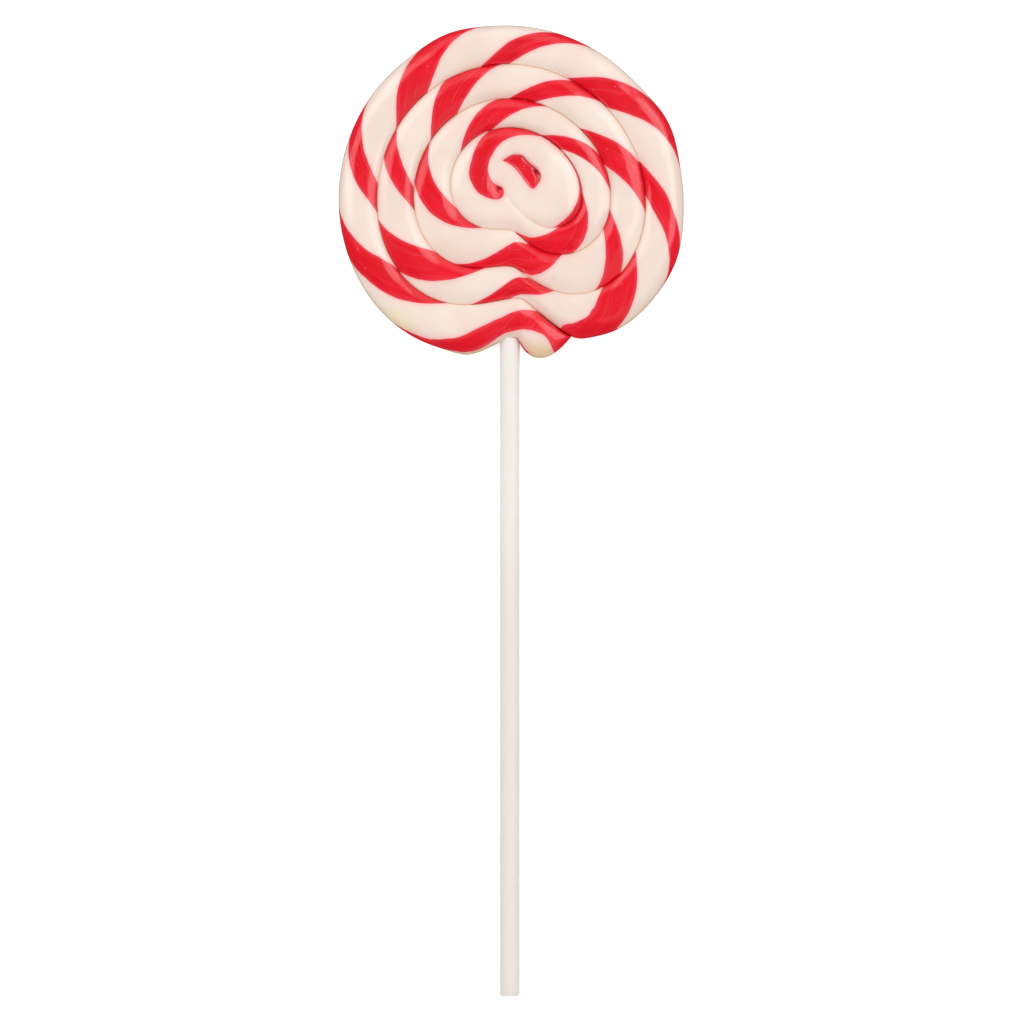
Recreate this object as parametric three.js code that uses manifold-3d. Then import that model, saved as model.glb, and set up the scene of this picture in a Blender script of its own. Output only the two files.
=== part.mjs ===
// A swirl lollipop: a twisted red and white sugar rope, coiled into a flat disc and pressed, on a plain white stick.
// It lies on its back with the shown face up. Millimetres, +Z up. The origin is the swirl's centre, on the table,
// and the stick points along -Y.
import * as THREE from 'three';
import { mergeVertices } from 'three/addons/utils/BufferGeometryUtils.js';
import Module from 'manifold-3d';

const wasm = await Module();
wasm.setup();

// Disc
const thickness = 8.5;
const equatorHeight = 4.2;
const faceGrooveDepth = 1.3;
const backGrooveDepth = 0.9;

// Stick
const stickDiameter = 4.37;
const stickLength = 178;
const stickX = -1.8;
const stickFreeEndY = -179;
const boreClearance = 0.3;
const boreRunOut = 12;

// The groove between the coil's turns is one spiral. Its angle keeps counting up, counterclockwise and outwards,
// and its radius at an angle is a plain spiral, with the disc's lean and oval shape, less the dents.
const spiral = { start: 14.7, perTurn: 5.5, perTurnSquared: 0.61 };
const lean = { x: 0.5, y: -3.0 };
const oval = { straight: -0.5, diagonal: -0.7 };

// The stick, pushed in from the edge, has dented every turn towards the centre.
const dents = [
  { at: -91, depth: 13.7, widthBefore: 47, widthAfter: 47, sharpness: 1.76 },
  { at: 264, depth: 13.0, widthBefore: 56, widthAfter: 46, sharpness: 1.76 },
  { at: 626, depth: 12.2, widthBefore: 39, widthAfter: 31, sharpness: 1.76 },
  { at: 991, depth: 13.8, widthBefore: 36, widthAfter: 19, sharpness: 1.76 },
  { at: 1346, depth: 14.4, widthBefore: 27, widthAfter: 27, sharpness: 1 },
];

// Slight swells of the rope that show on the disc's outline.
const swells = [
  { at: 1011, height: 1.0, width: 5 },
  { at: 1056, height: 0.6, width: 12 },
  { at: 1104, height: 1.0, width: 12 },
  { at: 1194, height: 0.6, width: 10 },
  { at: 1333, height: 1.0, width: 6 },
];

// Angles along the groove, in degrees
const angleStep = 6;
const stepsPerTurn = 360 / angleStep;
const notchAngle = 1010;
const grooveStartAngle = notchAngle - 181 * angleStep;
const firstAngle = grooveStartAngle - 360;
const cleftAngle = dents.at(-1).at;

// The rope's outer end is a round lobe between the stick's cleft and the notch where the groove meets the rim.
const lobeStartAngle = 1350.2;
const lobeRise = 4.0;
const lobeSkew = 0.7;
const lobeTipSpan = 18;
const grooveOpensSpan = 16;

const grooveFadeSpan = 45;
const centreRadius = 1.3;

// How the sugar rope bulges between its two edges: 0 is the middle and 1 the edge.
const ridgeFlatness = 2.6;
const rimFlatness = 2.4;
const backPressing = 1.35;

const { clamp, degToRad, lerp, mapLinear, smoothstep } = THREE.MathUtils;

function coilRadius(angle) {
  const turns = angle / 360;
  const theta = degToRad(angle);
  let radius = spiral.start + spiral.perTurn * turns + spiral.perTurnSquared * turns ** 2;
  radius += lean.x * Math.cos(theta) + lean.y * Math.sin(theta);
  radius += oval.straight * Math.cos(2 * theta) + oval.diagonal * Math.sin(2 * theta);
  for (const dent of dents) {
    const offset = angle - dent.at;
    const width = offset < 0 ? dent.widthBefore : dent.widthAfter;
    radius -= dent.depth * Math.exp(-(Math.abs(offset / width) ** dent.sharpness));
  }
  for (const swell of swells) {
    radius += swell.height * Math.exp(-(((angle - swell.at) / swell.width) ** 2));
  }
  return radius;
}

function grooveRadius(angle) {
  if (angle < grooveStartAngle) {
    return lerp(centreRadius, coilRadius(grooveStartAngle), (angle - firstAngle) / 360);
  }
  if (angle > cleftAngle) {
    const endAngle = notchAngle + 360;
    const chord = mapLinear(angle, cleftAngle, endAngle, coilRadius(cleftAngle), coilRadius(notchAngle));
    const alongLobe = clamp(mapLinear(angle, lobeStartAngle, endAngle, 0, 1), 0, 1) ** lobeSkew;
    return chord + lobeRise * Math.sin(Math.PI * alongLobe);
  }
  return coilRadius(angle);
}

function grooveHeight(face, angle) {
  const deepened = smoothstep(angle, grooveStartAngle, grooveStartAngle + grooveFadeSpan);
  const opened = smoothstep(angle, notchAngle - grooveOpensSpan, notchAngle);
  return lerp(lerp(face.crest, face.groove, deepened), equatorHeight, opened);
}

function ropeHeight(face, angle, across) {
  const tip = Math.max(0, (angle - notchAngle + lobeTipSpan) / lobeTipSpan);
  const crest = lerp(equatorHeight, face.crest, Math.sqrt(1 - tip ** 2));
  const edge = grooveHeight(face, across > 0.5 ? angle + 360 : angle);
  const offset = Math.abs(2 * across - 1);
  const rimShare = clamp(mapLinear(edge, face.groove, equatorHeight, 0, 1), 0, 1);
  const ridge = lerp(1 - offset ** ridgeFlatness, Math.sqrt(1 - offset ** rimFlatness), rimShare);
  return lerp(edge, crest, Math.min(1, face.pressing * ridge));
}

// The disc's surface is the strip between the spiral and itself one turn further out, on the face and on the back.
function coiledDisc(faces) {
  const positions = [];
  const triangles = [];
  const lastColumn = Math.round((notchAngle - firstAngle) / angleStep);

  const addVertex = (radius, angle, height) => {
    const theta = degToRad(angle);
    positions.push(radius * Math.cos(theta), radius * Math.sin(theta), height);
    return positions.length / 3 - 1;
  };
  const angleAt = (column) => firstAngle + column * angleStep;

  const rim = [];
  for (let column = lastColumn; column < lastColumn + stepsPerTurn; column++) {
    rim.push(addVertex(grooveRadius(angleAt(column)), angleAt(column), equatorHeight));
  }

  for (const face of faces) {
    const addTriangle = (a, b, c) => triangles.push(...(face.up ? [a, b, c] : [a, c, b]));

    const edge = [];
    for (let column = 0; column <= lastColumn + stepsPerTurn; column++) {
      const angle = angleAt(column);
      edge.push(column < lastColumn
        ? addVertex(grooveRadius(angle), angle, grooveHeight(face, angle))
        : rim[(column - lastColumn) % stepsPerTurn]);
    }

    const columns = [];
    for (let column = 0; column < lastColumn; column++) {
      const angle = angleAt(column);
      const vertices = [edge[column]];
      for (let row = 1; row < face.rows; row++) {
        const across = (1 - Math.cos(Math.PI * row / face.rows)) / 2;
        const radius = lerp(grooveRadius(angle), grooveRadius(angle + 360), across);
        vertices.push(addVertex(radius, angle, ropeHeight(face, angle, across)));
      }
      columns.push([...vertices, edge[column + stepsPerTurn]]);
    }

    for (let column = 0; column + 1 < lastColumn; column++) {
      const here = columns[column];
      const next = columns[column + 1];
      for (let row = 0; row < face.rows; row++) {
        addTriangle(here[row], here[row + 1], next[row + 1]);
        addTriangle(here[row], next[row + 1], next[row]);
      }
    }
    const tip = columns.at(-1);
    for (let row = 0; row < face.rows; row++) {
      addTriangle(tip[row], tip[row + 1], rim[0]);
    }

    // Inside the spiral's first turn a flat patch closes the disc.
    const patch = edge.slice(0, stepsPerTurn);
    const outline = patch.map((index) => new THREE.Vector2(positions[3 * index], positions[3 * index + 1]));
    for (const corners of THREE.ShapeUtils.triangulateShape(outline, [])) {
      addTriangle(...corners.map((corner) => patch[corner]));
    }
    for (let row = 0; row < face.rows; row++) {
      addTriangle(patch.at(-1), columns[0][row + 1], columns[0][row]);
    }
  }

  const geometry = new THREE.BufferGeometry();
  geometry.setAttribute('position', new THREE.Float32BufferAttribute(positions, 3));
  geometry.setIndex(triangles);
  return geometry;
}

function toManifold(geometry) {
  geometry.deleteAttribute('normal');
  geometry.deleteAttribute('uv');
  const merged = mergeVertices(geometry, 1e-4);
  return new wasm.Manifold(new wasm.Mesh({
    numProp: 3,
    vertProperties: new Float32Array(merged.attributes.position.array),
    triVerts: new Uint32Array(merged.index.array),
  }));
}

function toGeometry(solid) {
  const mesh = solid.getMesh();
  const geometry = new THREE.BufferGeometry();
  geometry.setAttribute('position', new THREE.BufferAttribute(new Float32Array(mesh.vertProperties), 3));
  geometry.setIndex(new THREE.BufferAttribute(new Uint32Array(mesh.triVerts), 1));
  geometry.computeVertexNormals();
  return geometry;
}

function makeCandy() {
  const disc = coiledDisc([
    { up: true, crest: thickness, groove: thickness - faceGrooveDepth, rows: 8, pressing: 1 },
    { up: false, crest: 0, groove: backGrooveDepth, rows: 6, pressing: backPressing },
  ]);
  const boreEndY = stickFreeEndY + stickLength + boreClearance;
  const boreMouthY = -grooveRadius(cleftAngle) - boreRunOut;
  const boreRadius = stickDiameter / 2 + boreClearance;
  const bore = new THREE.CylinderGeometry(boreRadius, boreRadius, boreEndY - boreMouthY, 24);
  bore.translate(stickX, (boreEndY + boreMouthY) / 2, equatorHeight);

  const sugar = new THREE.MeshStandardMaterial({ color: '#f6e4da', roughness: 0.3, metalness: 0 });
  const candy = new THREE.Mesh(toGeometry(toManifold(disc).subtract(toManifold(bore))), sugar);
  candy.name = 'candy';
  return candy;
}

function makeStick() {
  const paper = new THREE.MeshStandardMaterial({ color: '#f3f1ee', roughness: 0.6, metalness: 0 });
  const radius = stickDiameter / 2;
  const stick = new THREE.Mesh(new THREE.CylinderGeometry(radius, radius, stickLength, 32), paper);
  stick.position.set(stickX, stickFreeEndY + stickLength / 2, equatorHeight);
  stick.name = 'stick';
  return stick;
}

const group = new THREE.Group();
group.add(makeCandy(), makeStick());

export default group;
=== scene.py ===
import math

import bpy
import numpy as np
from mathutils import Euler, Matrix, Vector
from mathutils.geometry import delaunay_2d_cdt


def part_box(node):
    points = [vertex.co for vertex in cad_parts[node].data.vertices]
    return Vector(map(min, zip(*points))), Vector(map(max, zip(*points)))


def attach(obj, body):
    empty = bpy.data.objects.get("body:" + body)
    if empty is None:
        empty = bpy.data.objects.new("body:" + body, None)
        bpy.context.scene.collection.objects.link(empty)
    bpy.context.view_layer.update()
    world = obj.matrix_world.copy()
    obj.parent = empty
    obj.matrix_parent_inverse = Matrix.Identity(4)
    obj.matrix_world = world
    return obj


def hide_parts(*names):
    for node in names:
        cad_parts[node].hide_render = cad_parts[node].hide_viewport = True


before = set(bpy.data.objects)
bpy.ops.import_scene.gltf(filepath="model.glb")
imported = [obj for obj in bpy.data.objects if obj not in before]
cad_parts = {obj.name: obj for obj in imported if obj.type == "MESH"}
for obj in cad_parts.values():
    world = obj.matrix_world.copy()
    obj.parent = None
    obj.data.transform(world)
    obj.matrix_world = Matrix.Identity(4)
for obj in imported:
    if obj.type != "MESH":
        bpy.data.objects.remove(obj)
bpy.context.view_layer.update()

MM = 0.001

# Lengths are in millimetres and angles in degrees, unless a comment says otherwise.
# The groove between the coil's turns is one spiral, the same as in the solid. Its angle keeps counting up,
# counterclockwise and outwards.
SPIRAL_START = 14.7
SPIRAL_PER_TURN = 5.5
SPIRAL_PER_TURN_SQUARED = 0.61
LEAN_X, LEAN_Y = 0.5, -3.0
OVAL_STRAIGHT, OVAL_DIAGONAL = -0.5, -0.7

# Where the stick has dented the turns: angle, depth, width before and after, sharpness
DENTS = (
    (-91, 13.7, 47, 47, 1.76),
    (264, 13.0, 56, 46, 1.76),
    (626, 12.2, 39, 31, 1.76),
    (991, 13.8, 36, 19, 1.76),
    (1346, 14.4, 27, 27, 1.0),
)

# Slight swells of the outline: angle, height, width
SWELLS = ((1011, 1.0, 5), (1056, 0.6, 12), (1104, 1.0, 12), (1194, 0.6, 10), (1333, 1.0, 6))

# Angles along the groove, and the rope's outer end, a round lobe between the stick's cleft and the notch
# where the groove meets the rim
GROOVE_START = -76
NOTCH = 1010
CLEFT = 1346
LOBE_START = 1350.2
LOBE_RISE = 4.0
LOBE_SKEW = 0.7
LOBE_TIP_SPAN = 18
GROOVE_OPENS_SPAN = 16
GROOVE_FADE_SPAN = 45

# A lip of sugar arches over the stick where it leaves the disc
LIP_Y = -32.7
LIP_SPAN = 9
LIP_ARCH = 2.35
STICK_X = -1.8

# Heights above the table
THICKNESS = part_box("candy")[1][2] / MM
EQUATOR = 4.2
FACE_GROOVE = THICKNESS - 1.8
BACK_GROOVE = 0.9

# How the rope bulges between its edges, as a ridge between two grooves and on the rim's side. Its crest lies
# a little nearer the inner edge, and the back is pressed flatter.
CREST_INWARD = 0.85
RIDGE_FLATNESS = 2.2
RIDGE_ROUNDNESS = 0.8
RIM_FLATNESS = 2.4
RIM_ROUNDNESS = 0.5
BACK_PRESSING = 1.35

# The centre slopes up from the groove like a rope of this half width. Over the last part of the groove's first
# turn it changes to that of the rope beside it.
CENTRE_HALF_WIDTH = 4.0
CENTRE_JOINS_SPAN = 90

# Places less than this beyond the groove still count as inside it
GROOVE_MARGIN = 0.01

# What the distance from the groove, which sets the painted groove shade, counts as where there is none, on the
# rim and before the groove starts
RIM_GROOVE_SHADE_GAP = 5.0

# The red stripes: the angle where each crosses the middle of the rope, and its width there, both in degrees
STRIPES = (
    (-46, 39), (33.5, 24), (108.5, 34), (186, 28), (278, 30), (328.5, 13), (374, 25.5),
    (431.5, 17), (486.5, 24), (533, 13), (576, 26), (633, 14.5), (670, 20.5), (711, 14.5),
    (761, 24), (808, 13.5), (851.5, 21), (893, 12.5), (930, 20), (985, 21), (1010, 14),
)

# The length of rope from stripe to stripe, the share of a length along the rope that a slanting stripe
# measures across, and how far round its side the rope goes before it meets the groove
STRIPE_SPACING = 22.0
STRIPE_SLANT = 0.75
GROOVE_SIDE = 52

# The depth in a stripe that makes the back's centre plain white
BACK_CENTRE_STRIPE = -2.0

# The stripe that curls round the swirl's centre, and the red fold inside it, as outlines
CURL = (
    (7.2, 11.6), (4.9, 14.2), (-0.8, 15.0), (-4.7, 14.6), (-7.0, 12.4), (-8.6, 10.7), (-9.8, 8.0),
    (-10.8, 4.0), (-10.5, 1.8), (-9.1, -0.6), (-7.2, -1.9), (-5.3, -2.4), (-3.8, -2.1), (-3.1, -0.8),
    (-3.5, 0.4), (-4.2, 0.7), (-5.6, 1.7), (-6.6, 3.6), (-6.5, 5.5), (-5.4, 8.0), (-3.8, 10.0),
    (-1.8, 11.3), (0.6, 11.9), (3.3, 11.9),
)
FOLD = (
    (-3.4, 6.3), (-2.0, 7.2), (-0.8, 7.6), (1.0, 7.4), (2.2, 6.1), (4.2, 4.4), (4.9, 3.5), (5.1, 2.4),
    (4.4, 0.8), (3.5, 0.0), (2.5, 0.4), (1.3, 1.9), (-0.8, 4.5), (-2.6, 5.8),
)

# The red that shows on the centre's side of the groove, along the groove's first turn: angles and widths
SLIVER_ANGLES = (-50, -47, -43, -38, -31, -19, -9, 3, 15, 40, 65, 66, 262, 266, 276, 284)
SLIVER_WIDTHS = (-0.3, 0.05, 0.45, 0.95, 1.25, 1.15, 0.85, 0.5, 0.3, 0.25, 0.25, -2, -2, 0, 0.9, 1.8)

# Faint pink beside them, first a pink smear, then painted pinkish shade in the valley between the curl and the
# fold: places, how far short of red their middles are, and how fast they fade
SMEAR_AND_VALLEY_SHADE = ((-1.9, -7.7), (-4.9, 4.2))
SMEAR_AND_SHADE_DEPTH = -0.7
SMEAR_AND_SHADE_FADE = 0.25

# The crease along the rope's inner end: places and depths, from the fold's tip to where the groove begins
CREASE = (
    (-3.2, 6.4, 0.4), (-4.7, 5.4, 0.45), (-5.5, 3.6, 0.35), (-5.4, 1.7, 0.6), (-4.2, 0.3, 0.8),
    (-2.9, -1.1, 0.3), (-1.4, -3.3, 0.5), (0.3, -4.9, 0.6), (1.5, -5.8, 0.65), (2.6, -6.7, 0.7),
    (4.5, -7.8, 0.7), (7.0, -8.5, 0.4),
)
CREASE_WIDTH = 0.5

# The shallow valley beside that crease, in the same form
VALLEY = ((-5.6, 5.0, 0.1), (-5.3, 3.0, 0.55), (-4.8, 1.2, 0.8), (-3.7, -0.6, 0.6), (-2.2, -2.6, 0.2))
VALLEY_WIDTH = 2.0

# The red fold lies lower than the face round it, which it leaves between these two distances inside its
# outline. It has a steep wall along one side and a crease of its own.
FOLD_DEPTH = 0.45
FOLD_EDGE = (-0.15, 0.6)
FOLD_WALL = (
    (-3.2, 6.5, 0.2), (-0.8, 7.6, 0.5), (1.0, 7.3, 0.7), (2.2, 6.0, 0.85), (4.1, 4.3, 0.8), (5.0, 2.6, 0.4),
)
FOLD_WALL_WIDTH = 0.3
FOLD_CREASE = ((4.0, 4.1, 0.7), (4.25, 2.6, 0.5), (4.0, 0.8, 0.2))
FOLD_CREASE_WIDTH = 0.25

# Small pits: places, depths and widths
PITS = ((3.9, 4.0, 0.35, 0.5), (-4.2, 0.2, 0.7, 0.45))

# A crease takes on a groove's shade, as if its distance from one fell to none between these depths
CREASE_SHADE_GAP = 0.35
CREASE_SHADED = (0.2, 1.1)

# On the rope's outer end the last stripe bends over the stick. From this place in the twist on, this outline
# and a small one under the lobe take over.
END_TWIST = 19.5
END_STRIPE = (
    (-26.0, -31.2), (-19.9, -33.1), (-16.6, -33.2), (-12.8, -32.7), (-7.7, -30.3), (-3.8, -28.5),
    (0.4, -26.9), (4.8, -27.1), (7.3, -28.2), (9.6, -30.4), (14.0, -33.0), (10.5, -38.0), (8.1, -36.2),
    (7.1, -34.2), (5.9, -32.6), (4.4, -31.8), (2.0, -31.2), (-0.2, -31.3), (-3.1, -32.1), (-5.6, -33.7),
    (-8.9, -35.7), (-12.0, -36.4), (-15.3, -36.4), (-20.0, -35.8), (-27.0, -33.0),
)
LOBE_STRIPE = (
    (0.35, -33.8), (0.85, -34.3), (1.5, -35.2), (2.4, -36.1), (2.9, -36.5), (2.0, -38.0), (-1.0, -36.0),
)

# Beside the notch a stripe spreads up to this outline, within an angle of the notch
NOTCH_STRIPE = (
    (9.6, -30.7), (12.7, -29.6), (15.4, -28.2), (17.4, -26.6), (23.0, -33.0), (16.0, -41.0), (8.5, -37.0),
)
NOTCH_REACH = 25

# The outlines are drawn as far as this across the rope. From there they run into the spans of the rim, in
# degrees along the groove, where the rim is red.
RIM_HOLD = 0.955
RIM_RED = ((1006, 1025.4), (1305, 1324.8), (1347.5, 1353.8), (1362.8, 1375))
RIM_MM_PER_DEGREE = 0.66

# The pulled sugar's surface is slightly uneven, in waves of random length, and dips along the stripes' edges
UNEVENNESS = 0.24
WAVE_COUNT = 14
WAVE_SEED = 5
WAVE_LENGTHS = (5, 17)
STRIPE_EDGE_DIP = 0.07
STRIPE_EDGE_WIDTH = 0.6

# The heights between which the face's unevenness, folds and creases come in
RELIEF_HEIGHTS = (EQUATOR + 1, THICKNESS - 0.3)

# The sugar's colours, linear
CREAM = (0.855, 0.725, 0.637, 1)
PALE_CREAM = (0.82, 0.670, 0.586, 1)
# Painted tan shade, low on the rim and underneath, along the lower edge and where the lip rests on the stick
TAN_SHADE = (0.77, 0.575, 0.345, 1)
CLEAR_CREAM = (0.82, 0.72, 0.47, 1)
# Painted shade: the tan that the white takes on in the grooves and creases
GROOVE_SHADE_TAN = (0.80, 0.48, 0.28, 1)
PINK = (0.92, 0.29, 0.37, 1)
RED = (0.82, 0.009, 0.026, 1)
DARK_RED = (0.70, 0.006, 0.015, 1)
# Painted shade: the dark red that the red takes on in the grooves
GROOVE_SHADE_RED = (0.35, 0.001, 0.004, 1)
SPECK_BROWN = (0.70, 0.40, 0.22, 1)

# Spots in the white: the middle, the radii between which each fades out, its share and its colour
SPOTS = (
    ((-26.8, -30.6, 6.0), 1.0, 6.5, 0.75, CLEAR_CREAM),
    # Painted tan shade where the lip of sugar rests on the stick
    ((-1.8, -33.5, 6.0), 1.0, 3.5, 0.5, TAN_SHADE),
    ((8.0, -19.8, 8.3), 0.1, 0.8, 0.3, SPECK_BROWN),
)

# Ramps of the sugar's look: what they run from and to, and what they give there. First come those by the
# depth in a stripe or the distance from the groove, then by height and by place along +Y, then by noise.
STRIPE_EDGE = (-0.07, 0.09)
NEAR_BLEED = (-0.9, 0.15, 0.0, 0.38)
FAR_BLEED = (-2.6, -0.2, 0.0, 0.10)
PINK_EDGE = (0.0, 1.2, 0.10, 0.0)
# Painted shade in the grooves, by the distance from the groove
WHITE_GROOVE_SHADE = (0.0, 0.3, 0.5, 0.0)
RED_GROOVE_SHADE = (0.0, 0.35, 0.7, 0.0)
# Painted tan shade: low on the rim and underneath, most on the lower part, and along the lower edge
UNDERSIDE_SHADE = (3.5 * MM, 7.5 * MM, 1.0, 0.0)
LOWER_PART_SHADE = (-30 * MM, -12 * MM, 1.0, 0.25)
LOWER_EDGE_SHADE = (-36.5 * MM, -32.2 * MM, 0.85, 0.0)
EDGE_WOBBLE = (0.2, 0.8, -0.06, 0.06)
WHITE_PATCHES = (0.35, 0.7)
RED_TONES = (0.35, 0.65)
FINE_STREAKS = (0.56, 0.72, 0.0, 0.22)
BUBBLE = (0.05, 0.14, 1.0, 0.0)
SUGAR_ROUGHNESS = (0.3, 0.7, 0.10, 0.20)

# Only cells with a random value above this hold a bubble, which takes on this share of pink
BUBBLE_RARITY = 0.8
BUBBLE_SHARE = 0.4

# How finely the noises repeat: the streaks by millimetre across and along them, the rest by metre
STREAK_SCALE = (2.2, 0.12, 1.0)
FINE_STREAK_SCALE = (4.0, 0.10, 1.0)
PATCH_SCALE = 90.0
WOBBLE_SCALE = 420.0
BUBBLE_SCALE = 650.0
GRAIN_SCALE = 1500.0

SUGAR_SHADER = {
    "Subsurface Weight": 0.2,
    "Subsurface Radius": (1.0, 0.5, 0.35),
    "Subsurface Scale": 0.6 * MM,
    "IOR": 1.5,
    "Coat Weight": 0.3,
    "Coat Roughness": 0.08,
}

# The stick's mesh, with its ends slightly rounded
STICK_ROUNDING = 0.25
STICK_RINGS = 40
STICK_SIDES = 64

# The stick's colours, linear, and its look. It is whiter away from its free end, and has faint clouds.
STICK_WARM = (0.735, 0.685, 0.635, 1)
STICK_WHITE = (0.785, 0.75, 0.72, 1)
STICK_CLOUD = (0.77, 0.70, 0.63, 1)
STICK_WHITENS = (-100 * MM, -60 * MM)
STICK_CLOUDS = (0.3, 0.7, 0.0, 0.25)
STICK_ROUGHNESS = (0.3, 0.7, 0.45, 0.62)
FIBRE_STRETCH = (1.0, 0.08, 1.0)
FIBRE_SCALE = 2500.0
CLOUD_SCALE = 60.0

# The floor's side in metres and its look
FLOOR_SIZE = 4
FLOOR_SHADER = {
    "Base Color": (0.75, 0.75, 0.75, 1),
    "Roughness": 0.9,
    "Emission Color": (1, 1, 1, 1),
    "Emission Strength": 0.55,
}

# Soft lamps round the table that light it, and panels that only show in the gloss: direction and height in
# degrees, width and height in metres, and brightness
LAMPS = (
    (0, 50, 1.5, 1.1, 1.65),
    (90, 38, 1.6, 0.8, 1.5),
    (180, 38, 1.5, 0.8, 1.9),
    (270, 35, 1.4, 0.8, 0.85),
)
PANELS = (
    (20, 39, 1.1, 0.95, 2.2),
    (152, 28, 1.05, 0.95, 1.8),
    (75, 22, 2.6, 1.0, 0.7),
    (322, 38, 0.9, 1.2, 0.4),
)
LAMP_DISTANCE = 1.2
LAMP_AIM = (0, -30 * MM, 0)

# A lamp straight overhead: how far up and how wide, in metres, and its brightness
OVERHEAD_DISTANCE = 1.3
OVERHEAD_SIZE = 1
OVERHEAD_GLOW = 1.95

# The room's brightness falls from the first glow to the second between these upward slopes of the view
ROOM_SLOPES = (0.1, 0.3)
ROOM_GLOWS = (0.7, 0.06)

# The camera looks straight down on this place and sees this width there
VIEW_X, VIEW_Y = -1.33, -71.55
VIEW_WIDTH = 227.6
LENS = 150
SENSOR = 36

COLUMNS_PER_TURN = 360
TOP_ROWS = 32
BACK_ROWS = 18
CENTRE_SPACING = 0.28

# The streaks in the centre run round it, where a length counts as this share of itself
STREAKS_ROUND_CENTRE = 0.3


def ease(value, low, high):
    """0 below low, 1 above high, and smooth between them."""
    t = np.clip((value - low) / (high - low), 0, 1)
    return t * t * (3 - 2 * t)


def mix(a, b, share):
    return a + (b - a) * share


def make_waves():
    """Random waves over the face: how fast each turns with x and with y, and where it starts."""
    random = np.random.default_rng(WAVE_SEED)
    heading = random.uniform(0, 2 * np.pi, WAVE_COUNT)
    per_length = 2 * np.pi / random.uniform(*WAVE_LENGTHS, WAVE_COUNT)
    phase = random.uniform(0, 2 * np.pi, WAVE_COUNT)
    return np.cos(heading) * per_length, np.sin(heading) * per_length, phase


WAVES = make_waves()


def unevenness(places):
    """How far the surface lies below its plain shape, in millimetres."""
    by_x, by_y, phase = WAVES
    waves = np.sin(places[:, 0:1] * by_x + places[:, 1:2] * by_y + phase).sum(axis=1)
    return UNEVENNESS * (1 - waves / math.sqrt(WAVE_COUNT)).clip(0, 3) / 2


def coil_radius(angle):
    turns = angle / 360
    theta = np.radians(angle)
    radius = SPIRAL_START + SPIRAL_PER_TURN * turns + SPIRAL_PER_TURN_SQUARED * turns**2
    radius = radius + LEAN_X * np.cos(theta) + LEAN_Y * np.sin(theta)
    radius = radius + OVAL_STRAIGHT * np.cos(2 * theta) + OVAL_DIAGONAL * np.sin(2 * theta)
    for at, depth, before, after, sharpness in DENTS:
        offset = angle - at
        width = np.where(offset < 0, before, after)
        radius = radius - depth * np.exp(-(np.abs(offset / width) ** sharpness))
    for at, height, width in SWELLS:
        radius = radius + height * np.exp(-(((angle - at) / width) ** 2))
    return radius


def groove_radius(angle):
    angle = np.asarray(angle, dtype=float)
    end = NOTCH + 360
    along = np.clip((angle - CLEFT) / (end - CLEFT), 0, 1)
    chord = mix(coil_radius(float(CLEFT)), coil_radius(float(NOTCH)), along)
    along_lobe = np.clip((angle - LOBE_START) / (end - LOBE_START), 0, 1) ** LOBE_SKEW
    lobe = chord + LOBE_RISE * np.sin(np.pi * along_lobe)
    radius = np.where(angle > CLEFT, lobe, coil_radius(angle))
    over_stick = np.abs(angle - CLEFT) < LIP_SPAN
    steepness = np.where(over_stick, np.sin(np.radians(angle)), -1)
    return np.where(over_stick, np.maximum(radius, LIP_Y / steepness), radius)


def lip_rise(angle):
    """How far the lip over the stick lifts the rim."""
    from_stick = np.abs(groove_radius(angle) * np.cos(np.radians(angle)) - STICK_X)
    rise = np.sqrt(np.clip(LIP_ARCH**2 - from_stick**2, 0, None))
    return np.where(np.abs(angle - CLEFT) < LIP_SPAN, rise, 0)


def from_crest(across):
    """The place across the rope: -1 at its inner edge, 0 on its crest and 1 at its outer edge."""
    return 2 * across**CREST_INWARD - 1


class Face:
    """One side of the disc: the shown face or the back."""

    def __init__(self, up, crest, groove, rows, pressing):
        self.up, self.crest, self.groove, self.rows, self.pressing = up, crest, groove, rows, pressing

    def groove_height(self, angle):
        deepened = ease(angle, GROOVE_START, GROOVE_START + GROOVE_FADE_SPAN)
        opened = ease(angle, NOTCH - GROOVE_OPENS_SPAN, NOTCH)
        return mix(mix(self.crest, self.groove, deepened), EQUATOR, opened) + lip_rise(angle)

    def rim_share(self, edge):
        return np.clip((edge - self.groove) / (EQUATOR - self.groove), 0, 1)

    def bulge(self, offset, rim_share):
        """How high the rope stands, 0 to 1, at an offset that is 0 on its crest and 1 at an edge."""
        ridge = np.clip(1 - offset**RIDGE_FLATNESS, 0, 1) ** RIDGE_ROUNDNESS
        rim = np.clip(1 - offset**RIM_FLATNESS, 0, 1) ** RIM_ROUNDNESS
        return np.minimum(1, self.pressing * mix(ridge, rim, rim_share))

    def rope_height(self, angle, across):
        tip = np.clip((angle - NOTCH + LOBE_TIP_SPAN) / LOBE_TIP_SPAN, 0, 1)
        crest = mix(EQUATOR, self.crest, np.sqrt(1 - tip**2))
        place = from_crest(across)
        edge = self.groove_height(np.where(place > 0, angle + 360, angle))
        return mix(edge, crest, self.bulge(np.abs(place), self.rim_share(edge)))

    def twist(self, angle, across):
        """The place in the twist, which grows by 1 from one red stripe to the next."""
        lean = np.clip(2 * across - 1, -1, 1)
        edge = self.groove_height(np.where(across > 0.5, angle + 360, angle))
        inner = np.degrees(np.arcsin(lean * math.sin(math.radians(GROOVE_SIDE))))
        outer = np.degrees(np.arcsin(lean))
        side = mix(inner, outer, np.where(across > 0.5, self.rim_share(edge), 0))
        return stripe_index(angle) + (side if self.up else 180 - side) / 180


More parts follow.
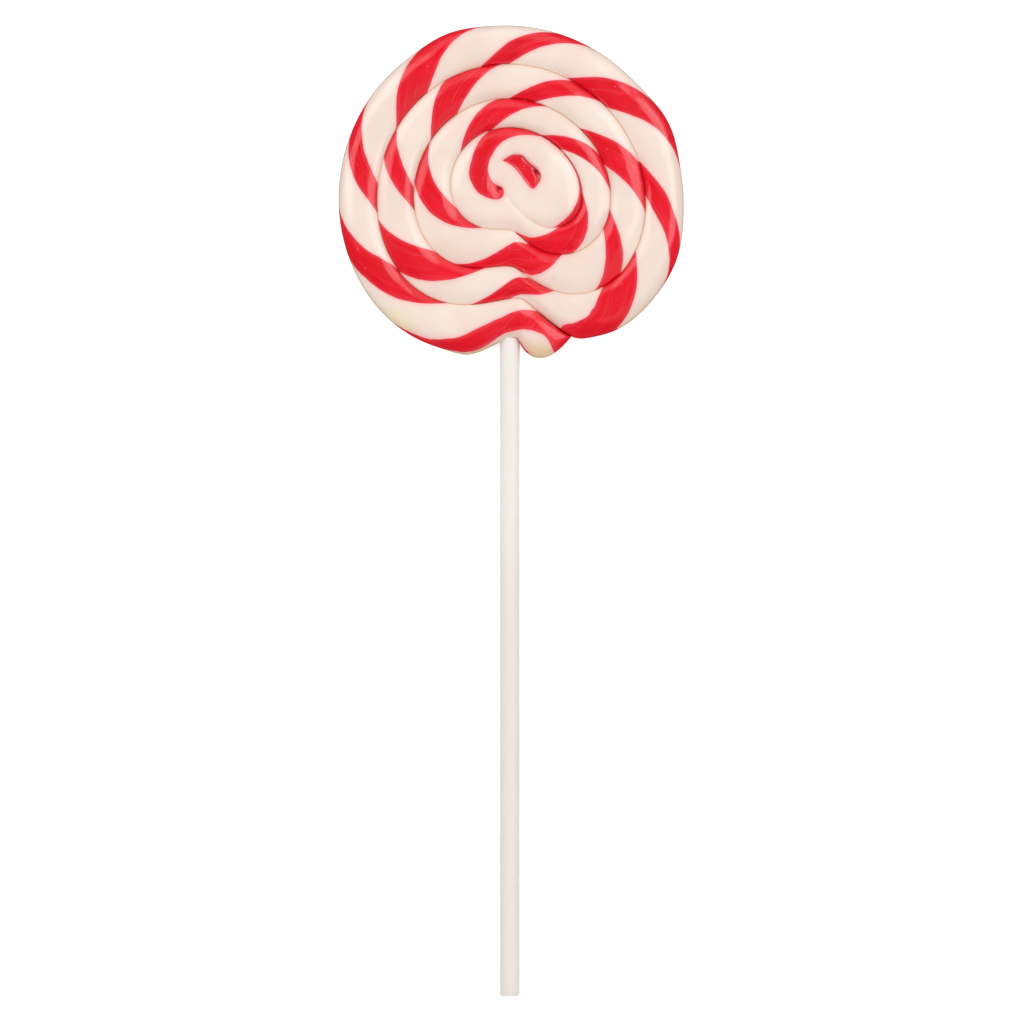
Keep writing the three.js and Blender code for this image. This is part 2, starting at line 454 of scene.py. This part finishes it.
def stripe_index(angle):
    """The number of the stripe at an angle, counted from 1, with fractions between the stripes' middles."""
    centres = np.array([stripe[0] for stripe in STRIPES])
    count = np.arange(1, len(STRIPES) + 1)
    before = 1 + (angle - centres[0]) / (centres[1] - centres[0])
    after = len(STRIPES) + (angle - centres[-1]) / (centres[-1] - centres[-2])
    index = np.interp(angle, centres, count)
    index = np.where(angle > centres[-1], after, index)
    return np.where(angle < centres[0], before, index)


def rope_angle(index):
    """The angle at which a stripe of that number crosses the middle of the rope."""
    return np.interp(index, np.arange(1, len(STRIPES) + 1), [stripe[0] for stripe in STRIPES])


def stripe_depth(twist):
    """How far inside a red stripe a place is, in millimetres. It is negative in the white."""
    depth = np.full(np.shape(twist), -np.inf)
    for number in range(-1, len(STRIPES) + 3):
        centre, width = STRIPES[min(max(number - 1, 0), len(STRIPES) - 1)]
        half = (stripe_index(centre + width / 2) - stripe_index(centre - width / 2)) / 2
        depth = np.maximum(depth, half - np.abs(twist - number))
    return depth * STRIPE_SPACING * STRIPE_SLANT


def smooth_outline(points, steps=8):
    """A closed curve through the points, as an array of places."""
    points = np.array(points)
    t = (np.arange(steps) / steps)[:, None]
    pieces = []
    for i in range(len(points)):
        a, b, c, d = (points[(i + shift) % len(points)] for shift in (-1, 0, 1, 2))
        cubic = 2 * b + (c - a) * t + (2 * a - 5 * b + 4 * c - d) * t**2 + (3 * b - a - 3 * c + d) * t**3
        pieces.append(cubic / 2)
    return np.concatenate(pieces)


def inside_depth(places, outline):
    """Signed distance of each place from a closed outline, positive inside."""
    x, y = places[:, 0:1], places[:, 1:2]
    start, end = outline, np.roll(outline, -1, axis=0)
    step = end - start
    along = (x - start[:, 0]) * step[:, 0] + (y - start[:, 1]) * step[:, 1]
    along = np.clip(along / (step**2).sum(axis=1), 0, 1)
    gap = np.hypot(start[:, 0] + along * step[:, 0] - x, start[:, 1] + along * step[:, 1] - y).min(axis=1)
    crosses = (start[:, 1] > y) != (end[:, 1] > y)
    rise = np.where(step[:, 1] == 0, 1e-9, step[:, 1])
    left = x < start[:, 0] + (y - start[:, 1]) * step[:, 0] / rise
    odd = (crosses & left).sum(axis=1) % 2 == 1
    return np.where(odd, gap, -gap)


def crease_relief(places, line, width, power=1):
    """The depth of a crease, or of a rounder valley, along a line of places and depths."""
    relief = np.zeros(len(places))
    for (x, y, depth), (next_x, next_y, next_depth) in zip(line[:-1], line[1:]):
        step = np.array((next_x - x, next_y - y))
        along = np.clip((places - (x, y)) @ step / (step @ step), 0, 1)
        gap = np.hypot(places[:, 0] - x - along * step[0], places[:, 1] - y - along * step[1])
        relief = np.maximum(relief, mix(depth, next_depth, along) * np.exp(-((gap / width) ** power)))
    return relief


def crease_depth(places):
    """How far the folds and creases of the rope's inner end lie below its surface."""
    fold = inside_depth(places, smooth_outline(FOLD))
    relief = FOLD_DEPTH * ease(fold, *FOLD_EDGE)
    relief = relief + crease_relief(places, CREASE, CREASE_WIDTH)
    relief = relief + crease_relief(places, FOLD_WALL, FOLD_WALL_WIDTH)
    relief = relief + crease_relief(places, FOLD_CREASE, FOLD_CREASE_WIDTH)
    for x, y, depth, width in PITS:
        relief = relief + depth * np.exp(-(((places[:, 0] - x) ** 2 + (places[:, 1] - y) ** 2) / width**2))
    return relief


def centre_relief(places):
    """How far the rope's inner end lies below the face."""
    return crease_depth(places) + crease_relief(places, VALLEY, VALLEY_WIDTH, power=2)


def centre_stripe(places):
    """How far inside the centre's red parts a place is."""
    angle, radius = groove_angle(places)
    sliver = np.interp(angle, SLIVER_ANGLES, SLIVER_WIDTHS) - (groove_radius(angle) - radius)
    curl = inside_depth(places, smooth_outline(CURL))
    fold = inside_depth(places, smooth_outline(FOLD))
    # A pink smear, and painted pinkish shade in the valley beside the curl
    smear_and_shade = [SMEAR_AND_SHADE_DEPTH - SMEAR_AND_SHADE_FADE * np.hypot(places[:, 0] - x, places[:, 1] - y) for x, y in SMEAR_AND_VALLEY_SHADE]
    return np.max([sliver, curl, fold, *smear_and_shade], axis=0)


def groove_angle(places):
    """The angle along the groove's first turn, and the radius, of each place."""
    theta = np.degrees(np.arctan2(places[:, 1], places[:, 0]))
    angle = (theta - GROOVE_START) % 360 + GROOVE_START
    radius = np.hypot(places[:, 0], places[:, 1])
    beyond = radius > groove_radius(angle) + GROOVE_MARGIN
    return np.where(beyond, angle + 360, angle), radius


def outline_depth(outlines, places, rim_angle, across):
    """How far inside red outlines a place is. At the rim the spans where they cross it take over."""
    drawn = np.max([inside_depth(places, smooth_outline(outline)) for outline in outlines], axis=0)
    crossing = np.max([np.minimum(rim_angle - low, high - rim_angle) for low, high in RIM_RED], axis=0)
    side, held, rim_side = (np.arcsin(2 * value - 1) for value in (across, RIM_HOLD, 1))
    down_the_rim = np.clip((side - held) / (rim_side - held), 0, 1)
    return mix(drawn, RIM_MM_PER_DEGREE * crossing, down_the_rim)


def rope_stripe(face, angle, across):
    """The place in the twist, and how far inside the rope's red stripes a place is."""
    twist = face.twist(angle, across)
    stripe = stripe_depth(twist)
    if not face.up:
        # Under the rim the stripes go on from where they cross it
        angle = rope_angle(twist - 0.5)
        across = np.ones_like(across)
    radius = mix(groove_radius(angle), groove_radius(angle + 360), np.minimum(across, RIM_HOLD))
    places = np.stack(polar(angle, radius), axis=-1)
    near = np.abs(NOTCH - 360 - angle) < NOTCH_REACH
    spread = outline_depth([NOTCH_STRIPE], places[near], angle[near] + 360, across[near])
    stripe[near] = np.maximum(stripe[near], spread)
    end = twist > END_TWIST
    stripe[end] = outline_depth([END_STRIPE, LOBE_STRIPE], places[end], angle[end] + 360, across[end])
    return twist, stripe


class Sugar:
    """Gathers the disc's vertices, faces and what the material needs at each corner."""

    def __init__(self):
        self.positions = []
        self.count = 0
        self.faces = []
        self.stripe = []
        self.seam = []
        self.streak = []

    def add(self, x, y, z):
        places = np.stack(np.broadcast_arrays(x, y, z), axis=-1).reshape(-1, 3)
        self.positions.append(places)
        self.count += len(places)
        return np.arange(self.count - len(places), self.count)

    def add_faces(self, corners, stripe, seam, streak, up):
        """Adds faces, with each corner's depth in a stripe, distance from the groove and streak place."""
        order = slice(None) if up else slice(None, None, -1)
        self.faces.extend(corners[:, order].tolist())
        self.stripe.append(stripe[:, order].ravel())
        self.seam.append(seam[:, order].ravel())
        self.streak.append(streak[:, order].reshape(-1, 2))


def polar(angle, radius):
    theta = np.radians(angle)
    return radius * np.cos(theta), radius * np.sin(theta)


def add_rope(sugar, face, rim):
    """The strip between the groove and itself one turn further out. Returns the loop round the centre."""
    step = 360 / COLUMNS_PER_TURN
    columns = round((NOTCH - GROOVE_START) / step)
    edge_angle = GROOVE_START + step * np.arange(columns)
    edge = sugar.add(*polar(edge_angle, groove_radius(edge_angle)), face.groove_height(edge_angle))
    edge = np.concatenate([edge, rim, rim[:1]])

    across = (1 - np.cos(np.pi * np.arange(face.rows + 1) / face.rows)) / 2
    angle, across = np.meshgrid(GROOVE_START + step * np.arange(columns), across, indexing="ij")
    radius = mix(groove_radius(angle), groove_radius(angle + 360), across)
    height = face.rope_height(angle, across)
    x, y = polar(angle, radius)

    twist, stripe = rope_stripe(face, angle, across)
    width = groove_radius(angle + 360) - groove_radius(angle)
    # The distance from the groove, which sets the painted groove shade
    seam = np.where(across < 0.5, across * width, (1 - across) * width + RIM_GROOVE_SHADE_GAP * (angle > NOTCH - 360))
    streak = np.stack([twist * STRIPE_SPACING, across * width], axis=-1)

    if face.up:
        dip = STRIPE_EDGE_DIP * np.exp(-np.abs(stripe) / STRIPE_EDGE_WIDTH)
        height = height - 4 * across * (1 - across) * dip

    inner = slice(1, face.rows)
    grid = np.empty(angle.shape, dtype=int)
    grid[:, 0] = edge[:columns]
    grid[:, -1] = edge[COLUMNS_PER_TURN : COLUMNS_PER_TURN + columns]
    grid[:, inner] = sugar.add(x[:, inner], y[:, inner], height[:, inner]).reshape(columns, -1)

    def corners_of(values):
        corners = np.stack([values[:-1, :-1], values[:-1, 1:], values[1:, 1:], values[1:, :-1]], axis=2)
        return corners.reshape(-1, 4, *values.shape[2:])

    sugar.add_faces(corners_of(grid), corners_of(stripe), corners_of(seam), corners_of(streak), face.up)

    def tip_of(values, last):
        return np.stack([values[-1, :-1], values[-1, 1:], last], axis=1)

    last_rim = np.full(face.rows, rim[0])
    tips = [tip_of(values, values[-1, 1:]) for values in (stripe, seam, streak)]
    sugar.add_faces(tip_of(grid, last_rim), *tips, face.up)
    return np.concatenate([edge[: COLUMNS_PER_TURN + 1], grid[0, inner][::-1]])


def centre_height(face, places):
    """The height of the round centre, which the groove's first turn surrounds."""
    angle, radius = groove_angle(places)
    turn_end = GROOVE_START + 360
    last_half_width = (groove_radius(turn_end) - groove_radius(GROOVE_START)) / 2
    joined = ease(angle, turn_end - CENTRE_JOINS_SPAN, turn_end)
    half_width = mix(CENTRE_HALF_WIDTH, last_half_width, joined)
    across = np.clip(1 - (groove_radius(angle) - radius) / (2 * half_width), 0, 1)
    return mix(face.groove_height(angle), face.crest, face.bulge(np.clip(from_crest(across), 0, 1), 0))


def add_centre(sugar, face, ring):
    """Fills the inside of the groove's first turn with small triangles."""
    border = np.concatenate(sugar.positions)[ring, :2]
    reach = border.max(axis=0) - border.min(axis=0)
    count = np.ceil(reach / CENTRE_SPACING).astype(int)
    x, y = np.meshgrid(np.arange(count[0]), np.arange(count[1]), indexing="ij")
    shifted = x + 0.5 * (y % 2)
    places = border.min(axis=0) + CENTRE_SPACING * np.stack([shifted.ravel(), y.ravel()], axis=1)
    places = places[inside_depth(places, border) > 0.5 * CENTRE_SPACING]
    added = sugar.add(places[:, 0], places[:, 1], centre_height(face, places))

    index = np.concatenate([ring, added])
    flat = np.concatenate([border, places])
    loop = [(i, (i + 1) % len(ring)) for i in range(len(ring))]
    result = delaunay_2d_cdt([Vector(place) for place in flat.tolist()], loop, [], 1, 1e-7)
    source = [origins[0] for origins in result[3]]
    triangles = np.array([[source[corner] for corner in triangle] for triangle in result[2]])
    a, b, c = (flat[triangles[:, i]] for i in range(3))
    turned = (b[:, 0] - a[:, 0]) * (c[:, 1] - a[:, 1]) < (b[:, 1] - a[:, 1]) * (c[:, 0] - a[:, 0])
    triangles[turned] = triangles[turned][:, ::-1]

    stripe = centre_stripe(flat) if face.up else np.full(len(flat), BACK_CENTRE_STRIPE)
    angle, radius = groove_angle(flat)
    inset = groove_radius(angle) - radius
    seam = np.where(angle < GROOVE_START + GROOVE_FADE_SPAN / 2, RIM_GROOVE_SHADE_GAP, inset)
    if face.up:
        seam = np.minimum(seam, CREASE_SHADE_GAP * (1 - ease(crease_depth(flat), *CREASE_SHADED)))
    streak = np.stack([radius, STREAKS_ROUND_CENTRE * np.radians(angle) * radius], axis=1)
    sugar.add_faces(index[triangles], stripe[triangles], seam[triangles], streak[triangles], face.up)


def make_candy(material):
    sugar = Sugar()
    rim_angle = NOTCH + (360 / COLUMNS_PER_TURN) * np.arange(COLUMNS_PER_TURN)
    rim = sugar.add(*polar(rim_angle, groove_radius(rim_angle)), EQUATOR + lip_rise(rim_angle))
    for face in (
        Face(True, THICKNESS, FACE_GROOVE, TOP_ROWS, 1),
        Face(False, 0, BACK_GROOVE, BACK_ROWS, BACK_PRESSING),
    ):
        ring = add_rope(sugar, face, rim)
        add_centre(sugar, face, ring)

    positions = np.concatenate(sugar.positions)
    relief_share = ease(positions[:, 2], *RELIEF_HEIGHTS)
    positions[:, 2] -= relief_share * (unevenness(positions) + centre_relief(positions[:, :2]))

    mesh = bpy.data.meshes.new("candy_sugar")
    mesh.from_pydata((positions * MM).tolist(), [], sugar.faces)
    for name, values in (("stripe", sugar.stripe), ("seam", sugar.seam)):
        attribute = mesh.attributes.new(name, "FLOAT", "CORNER")
        attribute.data.foreach_set("value", np.concatenate(values).astype(np.float32))
    streak = mesh.uv_layers.new(name="streak")
    streak.data.foreach_set("uv", np.concatenate(sugar.streak).astype(np.float32).ravel())
    mesh.polygons.foreach_set("use_smooth", np.ones(len(mesh.polygons), dtype=bool))
    mesh.materials.append(material)
    candy = bpy.data.objects.new("candy_sugar", mesh)
    bpy.context.collection.objects.link(candy)
    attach(candy, "root")
    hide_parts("candy")


def stick_profile(radius, low, high):
    """The stick's radius and place along it, from end to end, with both ends slightly rounded."""
    rounding = STICK_ROUNDING * MM
    arc = np.radians(np.arange(0, 91, 15))
    end = list(zip(radius - rounding * (1 - np.sin(arc)), low + rounding * (1 - np.cos(arc))))
    other_end = [(r, low + high - y) for r, y in reversed(end)]
    span = high - low - 2 * rounding
    middle = [(radius, low + rounding + span * i / STICK_RINGS) for i in range(1, STICK_RINGS)]
    return end + middle + other_end


def make_stick(material):
    """A straight round stick, turned from its profile."""
    low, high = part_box("stick")
    centre_x, centre_z = (low[0] + high[0]) / 2, (low[2] + high[2]) / 2
    profile = stick_profile((high[0] - low[0]) / 2, low[1], high[1])
    vertices, faces = [], []
    for r, y in profile:
        for side in range(STICK_SIDES):
            turn = 2 * math.pi * side / STICK_SIDES
            vertices.append((centre_x + r * math.cos(turn), y, centre_z + r * math.sin(turn)))
    for ring in range(len(profile) - 1):
        here, there = ring * STICK_SIDES, (ring + 1) * STICK_SIDES
        for side in range(STICK_SIDES):
            after = (side + 1) % STICK_SIDES
            faces.append((here + side, there + side, there + after, here + after))
    faces.append(tuple(range(STICK_SIDES)))
    faces.append(tuple(reversed(range(len(vertices) - STICK_SIDES, len(vertices)))))
    mesh = bpy.data.meshes.new("stick_paper")
    mesh.from_pydata(vertices, [], faces)
    mesh.polygons.foreach_set("use_smooth", np.ones(len(mesh.polygons), dtype=bool))
    mesh.materials.append(material)
    stick = bpy.data.objects.new("stick_paper", mesh)
    bpy.context.collection.objects.link(stick)
    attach(stick, "root")
    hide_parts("stick")


class Nodes:
    """Short ways to add and join a material's nodes."""

    def __init__(self, name):
        self.material = bpy.data.materials.new(name)
        self.material.use_nodes = True
        self.tree = self.material.node_tree
        self.shader = next(node for node in self.tree.nodes if node.type == "BSDF_PRINCIPLED")

    def add(self, kind, output=0, inputs=None, **settings):
        node = self.tree.nodes.new(kind)
        for key, value in settings.items():
            setattr(node, key, value)
        for key, value in (inputs or {}).items():
            self.feed(node.inputs[key], value)
        return node.outputs[output]

    def feed(self, socket, value):
        if isinstance(value, bpy.types.NodeSocket):
            self.tree.links.new(value, socket)
        else:
            socket.default_value = value

    def shade(self, settings):
        """Feeds the shader's inputs of the given names."""
        for name, value in settings.items():
            self.feed(self.shader.inputs[name], value)

    def math(self, operation, a, b=0.0):
        return self.add("ShaderNodeMath", inputs={0: a, 1: b}, operation=operation)

    def span(self, value, low, high, out_low=0.0, out_high=1.0):
        inputs = {"Value": value, "From Min": low, "From Max": high, "To Min": out_low, "To Max": out_high}
        return self.add("ShaderNodeMapRange", inputs=inputs, interpolation_type="SMOOTHSTEP")

    def blend(self, share, a, b):
        """A colour mixed from two, which a mix node takes as inputs 6 and 7 and gives as output 2."""
        return self.add("ShaderNodeMix", 2, {0: share, 6: a, 7: b}, data_type="RGBA")

    def noise(self, vector, scale, detail=3.0, roughness=0.5):
        inputs = {"Vector": vector, "Scale": scale, "Detail": detail, "Roughness": roughness}
        return self.add("ShaderNodeTexNoise", "Fac", inputs)


def sugar_white(nodes, place, edge, seam, patches):
    """White sugar, which takes on a painted tan shade low down, and turns pink beside a stripe."""
    split = nodes.add("ShaderNodeSeparateXYZ", "Z", {"Vector": place})
    up_the_disc = split.node.outputs["Y"]
    cream = nodes.blend(nodes.span(patches, *WHITE_PATCHES), CREAM, PALE_CREAM)
    # Painted tan shade low on the rim and underneath, most on the lower part, and along the lower edge
    low_shade = nodes.math("MULTIPLY", nodes.span(split, *UNDERSIDE_SHADE), nodes.span(up_the_disc, *LOWER_PART_SHADE))
    cream = nodes.blend(low_shade, cream, TAN_SHADE)
    cream = nodes.blend(nodes.span(up_the_disc, *LOWER_EDGE_SHADE), cream, TAN_SHADE)
    for middle, near, far, share, tone in SPOTS:
        spot = [value * MM for value in middle]
        apart = nodes.add("ShaderNodeVectorMath", "Value", {0: place, 1: spot}, operation="DISTANCE")
        cream = nodes.blend(nodes.span(apart, near * MM, far * MM, share, 0.0), cream, tone)
    # Painted shade: tan in the grooves and creases
    cream = nodes.blend(nodes.span(seam, *WHITE_GROOVE_SHADE), cream, GROOVE_SHADE_TAN)
    bleed = nodes.math("ADD", nodes.span(edge, *NEAR_BLEED), nodes.span(edge, *FAR_BLEED))
    return nodes.blend(bleed, cream, PINK)


def sugar_red(nodes, place, streak_map, edge, seam, patches, streaks):
    """Red sugar, with fine lighter streaks along the stripes and scattered bubbles."""
    tone = nodes.math("ADD", nodes.math("MULTIPLY", streaks, 0.6), nodes.math("MULTIPLY", patches, 0.4))
    red = nodes.blend(nodes.span(tone, *RED_TONES), DARK_RED, RED)
    # Painted shade: dark red in the grooves
    red = nodes.blend(nodes.span(seam, *RED_GROOVE_SHADE), red, GROOVE_SHADE_RED)
    fine_map = nodes.add("ShaderNodeMapping", inputs={"Vector": streak_map, "Scale": FINE_STREAK_SCALE})
    fine = nodes.noise(fine_map, 1.0, detail=4.0, roughness=0.6)
    red = nodes.blend(nodes.span(fine, *FINE_STREAKS), red, PINK)
    red = nodes.blend(nodes.span(edge, *PINK_EDGE), red, PINK)
    cells = nodes.add("ShaderNodeTexVoronoi", "Distance", {"Vector": place, "Scale": BUBBLE_SCALE})
    random = nodes.add("ShaderNodeSeparateColor", "Red", {"Color": cells.node.outputs["Color"]})
    chosen = nodes.math("GREATER_THAN", random, BUBBLE_RARITY)
    bubble = nodes.math("MULTIPLY", nodes.span(cells, *BUBBLE), chosen)
    return nodes.blend(nodes.math("MULTIPLY", bubble, BUBBLE_SHARE), red, PINK)


def sugar_material():
    nodes = Nodes("pulled_sugar")
    place = nodes.add("ShaderNodeTexCoord", "Object")
    streak_map = nodes.add("ShaderNodeUVMap", uv_map="streak")
    stripe = nodes.add("ShaderNodeAttribute", "Fac", attribute_name="stripe")
    # The distance from the groove, which sets the painted groove shade
    seam = nodes.add("ShaderNodeAttribute", "Fac", attribute_name="seam")

    stretched = nodes.add("ShaderNodeMapping", inputs={"Vector": streak_map, "Scale": STREAK_SCALE})
    streaks = nodes.noise(stretched, 1.0, detail=6.0, roughness=0.65)
    patches = nodes.noise(place, PATCH_SCALE, detail=2.0)
    grain = nodes.noise(place, GRAIN_SCALE)
    wobble = nodes.noise(place, WOBBLE_SCALE, detail=2.0)
    edge = nodes.math("ADD", stripe, nodes.span(wobble, *EDGE_WOBBLE))

    white = sugar_white(nodes, place, edge, seam, patches)
    red = sugar_red(nodes, place, streak_map, edge, seam, patches, streaks)
    relief = nodes.math("ADD", streaks, nodes.math("MULTIPLY", grain, 0.10))
    bump = {"Height": relief, "Strength": 0.3, "Distance": 0.1 * MM}
    nodes.shade({
        "Base Color": nodes.blend(nodes.span(edge, *STRIPE_EDGE), white, red),
        "Roughness": nodes.span(streaks, *SUGAR_ROUGHNESS),
        "Normal": nodes.add("ShaderNodeBump", inputs=bump),
        **SUGAR_SHADER,
    })
    return nodes.material


def stick_material():
    nodes = Nodes("rolled_paper")
    place = nodes.add("ShaderNodeTexCoord", "Object")
    along = nodes.add("ShaderNodeSeparateXYZ", "Y", {"Vector": place})
    fibre_map = nodes.add("ShaderNodeMapping", inputs={"Vector": place, "Scale": FIBRE_STRETCH})
    fibres = nodes.noise(fibre_map, FIBRE_SCALE, detail=4.0)
    clouds = nodes.noise(place, CLOUD_SCALE, detail=2.0)
    tone = nodes.blend(nodes.span(along, *STICK_WHITENS), STICK_WARM, STICK_WHITE)
    bump = {"Height": fibres, "Strength": 0.2, "Distance": 0.05 * MM}
    nodes.shade({
        "Base Color": nodes.blend(nodes.span(clouds, *STICK_CLOUDS), tone, STICK_CLOUD),
        "Roughness": nodes.span(fibres, *STICK_ROUGHNESS),
        "Normal": nodes.add("ShaderNodeBump", inputs=bump),
    })
    return nodes.material


def make_stage():
    """A plain pale floor, soft lamps round it and overhead, and panels that only show in the gloss."""
    bpy.ops.mesh.primitive_plane_add(size=FLOOR_SIZE)
    floor = bpy.context.object
    floor.name = "floor"
    paint = Nodes("pale_floor")
    paint.shade(FLOOR_SHADER)
    floor.data.materials.append(paint.material)
    floor.visible_glossy = False

    aim = Vector(LAMP_AIM)
    for kind, lamps in (("lamp", LAMPS), ("panel", PANELS)):
        for direction, elevation, width, height, glow in lamps:
            level = Euler((0, -math.radians(elevation), math.radians(direction)))
            towards = level.to_matrix() @ Vector((1, 0, 0))
            place = aim + LAMP_DISTANCE * towards
            holder = place_lamp(f"{kind}_{direction}", place, aim, width, height, glow)
            holder.visible_glossy = kind == "panel"
            holder.visible_diffuse = kind == "lamp"
    above = aim + Vector((0, 0, OVERHEAD_DISTANCE))
    overhead = place_lamp("lamp_overhead", above, aim, OVERHEAD_SIZE, OVERHEAD_SIZE, OVERHEAD_GLOW)
    overhead.visible_glossy = False


def make_room():
    """A pale room that is darker overhead."""
    world = bpy.data.worlds.new("room")
    world.use_nodes = True
    tree = world.node_tree
    place = tree.nodes.new("ShaderNodeTexCoord")
    split = tree.nodes.new("ShaderNodeSeparateXYZ")
    ramp = tree.nodes.new("ShaderNodeMapRange")
    for name, value in zip(("From Min", "From Max", "To Min", "To Max"), ROOM_SLOPES + ROOM_GLOWS):
        ramp.inputs[name].default_value = value
    tree.links.new(place.outputs["Generated"], split.inputs["Vector"])
    tree.links.new(split.outputs["Z"], ramp.inputs["Value"])
    tree.links.new(ramp.outputs["Result"], tree.nodes["Background"].inputs["Strength"])
    bpy.context.scene.world = world


def place_lamp(name, place, aim, width, height, glow):
    lamp = bpy.data.lights.new(name, "AREA")
    lamp.shape = "RECTANGLE"
    lamp.size, lamp.size_y = width, height
    lamp.energy = glow * math.pi * width * height
    holder = bpy.data.objects.new(name, lamp)
    holder.location = place
    holder.rotation_euler = (aim - place).to_track_quat("-Z", "Y").to_euler()
    holder.visible_camera = False
    bpy.context.collection.objects.link(holder)
    return holder


def make_camera():
    """Looks straight down on the lollipop, as the photograph faces it."""
    camera = bpy.data.cameras.new("camera")
    camera.lens = LENS
    camera.sensor_width = SENSOR
    holder = bpy.data.objects.new("camera", camera)
    holder.location = (VIEW_X * MM, VIEW_Y * MM, (EQUATOR + VIEW_WIDTH * LENS / SENSOR) * MM)
    bpy.context.collection.objects.link(holder)
    bpy.context.scene.camera = holder
    bpy.context.scene.view_settings.view_transform = "Standard"


make_candy(sugar_material())
make_stick(stick_material())
make_stage()
make_room()
make_camera()
